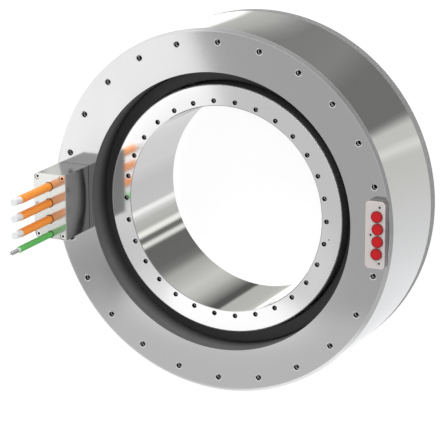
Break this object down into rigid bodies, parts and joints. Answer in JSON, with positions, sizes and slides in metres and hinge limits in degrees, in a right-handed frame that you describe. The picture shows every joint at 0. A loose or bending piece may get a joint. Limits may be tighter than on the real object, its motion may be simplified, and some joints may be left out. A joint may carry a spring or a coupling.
{
  "type": "frameless motor",
  "caption": "Flat ring-shaped torque motor for building in: a liquid-cooled stator with bolt holes, cable block and coolant block, and a hollow magnet rotor inside it.",
  "frame": {"origin": "centre of the stator's rear face, on the motor's axis", "axes": "+Z along the motor's axis from the rear face to the front flange and the cables; +X to the coolant block; -X to the cable block"},
  "size_m": [0.4399, 0.44, 0.2884],
  "materials": {
    "machined_aluminium": "finely turned and polished, mirror-like",
    "ring_aluminium": "matte turned",
    "sleeve_aluminium": "turned",
    "rotor_steel": "finely turned and polished, mirror-like",
    "lamination_steel": "stacked sheet edges",
    "copper": "bare copper",
    "winding_copper": "enamelled wire",
    "potting_resin": "cast resin, satin",
    "cover_plastic": "matte",
    "magnet_nickel": "nickel plated",
    "bandage_fibre": "wound fibre in resin",
    "seal_rubber": "matte",
    "screw_steel": "blackened",
    "coolant_block_aluminium": "satin, faintly warm",
    "plug_plastic": "moulded, semi-gloss",
    "orange_jacket": "smooth extruded",
    "green_jacket": "smooth extruded",
    "white_insulation": "smooth",
    "core_insulation": "thin cores with dark ends"
  },
  "bodies": {
    "stator": {"cable_block": "machined_aluminium", "cable_block_gasket": "seal_rubber", "cable_block_screws": "screw_steel", "coolant_plug_1": "plug_plastic", "coolant_plug_2": "plug_plastic", "coolant_plug_3": "plug_plastic", "coolant_plug_4": "plug_plastic", "cooling_block": "coolant_block_aluminium", "cooling_block_screws": "screw_steel", "cooling_sleeve": "sleeve_aluminium", "fill_plug": "screw_steel", "front_potting": "potting_resin", "front_sleeve_seal": "seal_rubber", "front_winding_cover": "cover_plastic", "phase_leads": "orange_jacket", "phase_ring_u": "copper", "phase_ring_v": "copper", "phase_ring_w": "copper", "phase_terminals": "copper", "port_seals": "seal_rubber", "power_cable_seals": "seal_rubber", "power_cable_u": "orange_jacket", "power_cable_v": "orange_jacket", "power_cable_w": "orange_jacket", "power_core_u": "white_insulation", "power_core_v": "white_insulation", "power_core_w": "white_insulation", "rear_potting": "potting_resin", "rear_ring": "ring_aluminium", "rear_ring_screws": "screw_steel", "rear_sleeve_seal": "seal_rubber", "rear_winding_cover": "cover_plastic", "ring_spacers": "cover_plastic", "sensor_lead": "green_jacket", "signal_cable": "green_jacket", "signal_cable_seal": "seal_rubber", "signal_cores": "core_insulation", "signal_sheath": "white_insulation", "star_ring": "copper", "stator_core": "lamination_steel", "stator_housing": "machined_aluminium", "temperature_sensor": "cover_plastic", "tooth_coils": "winding_copper"},
    "rotor": {"rotor_ring": "rotor_steel", "magnets": "magnet_nickel", "magnet_bandage": "bandage_fibre"}
  },
  "joints": [
    {"name": "rotor_spin", "type": "hinge", "parent": "stator", "child": "rotor", "pos_m": [0, 0, 0.0645], "axis": [0, 0, 1], "continuous": true}
  ]
}
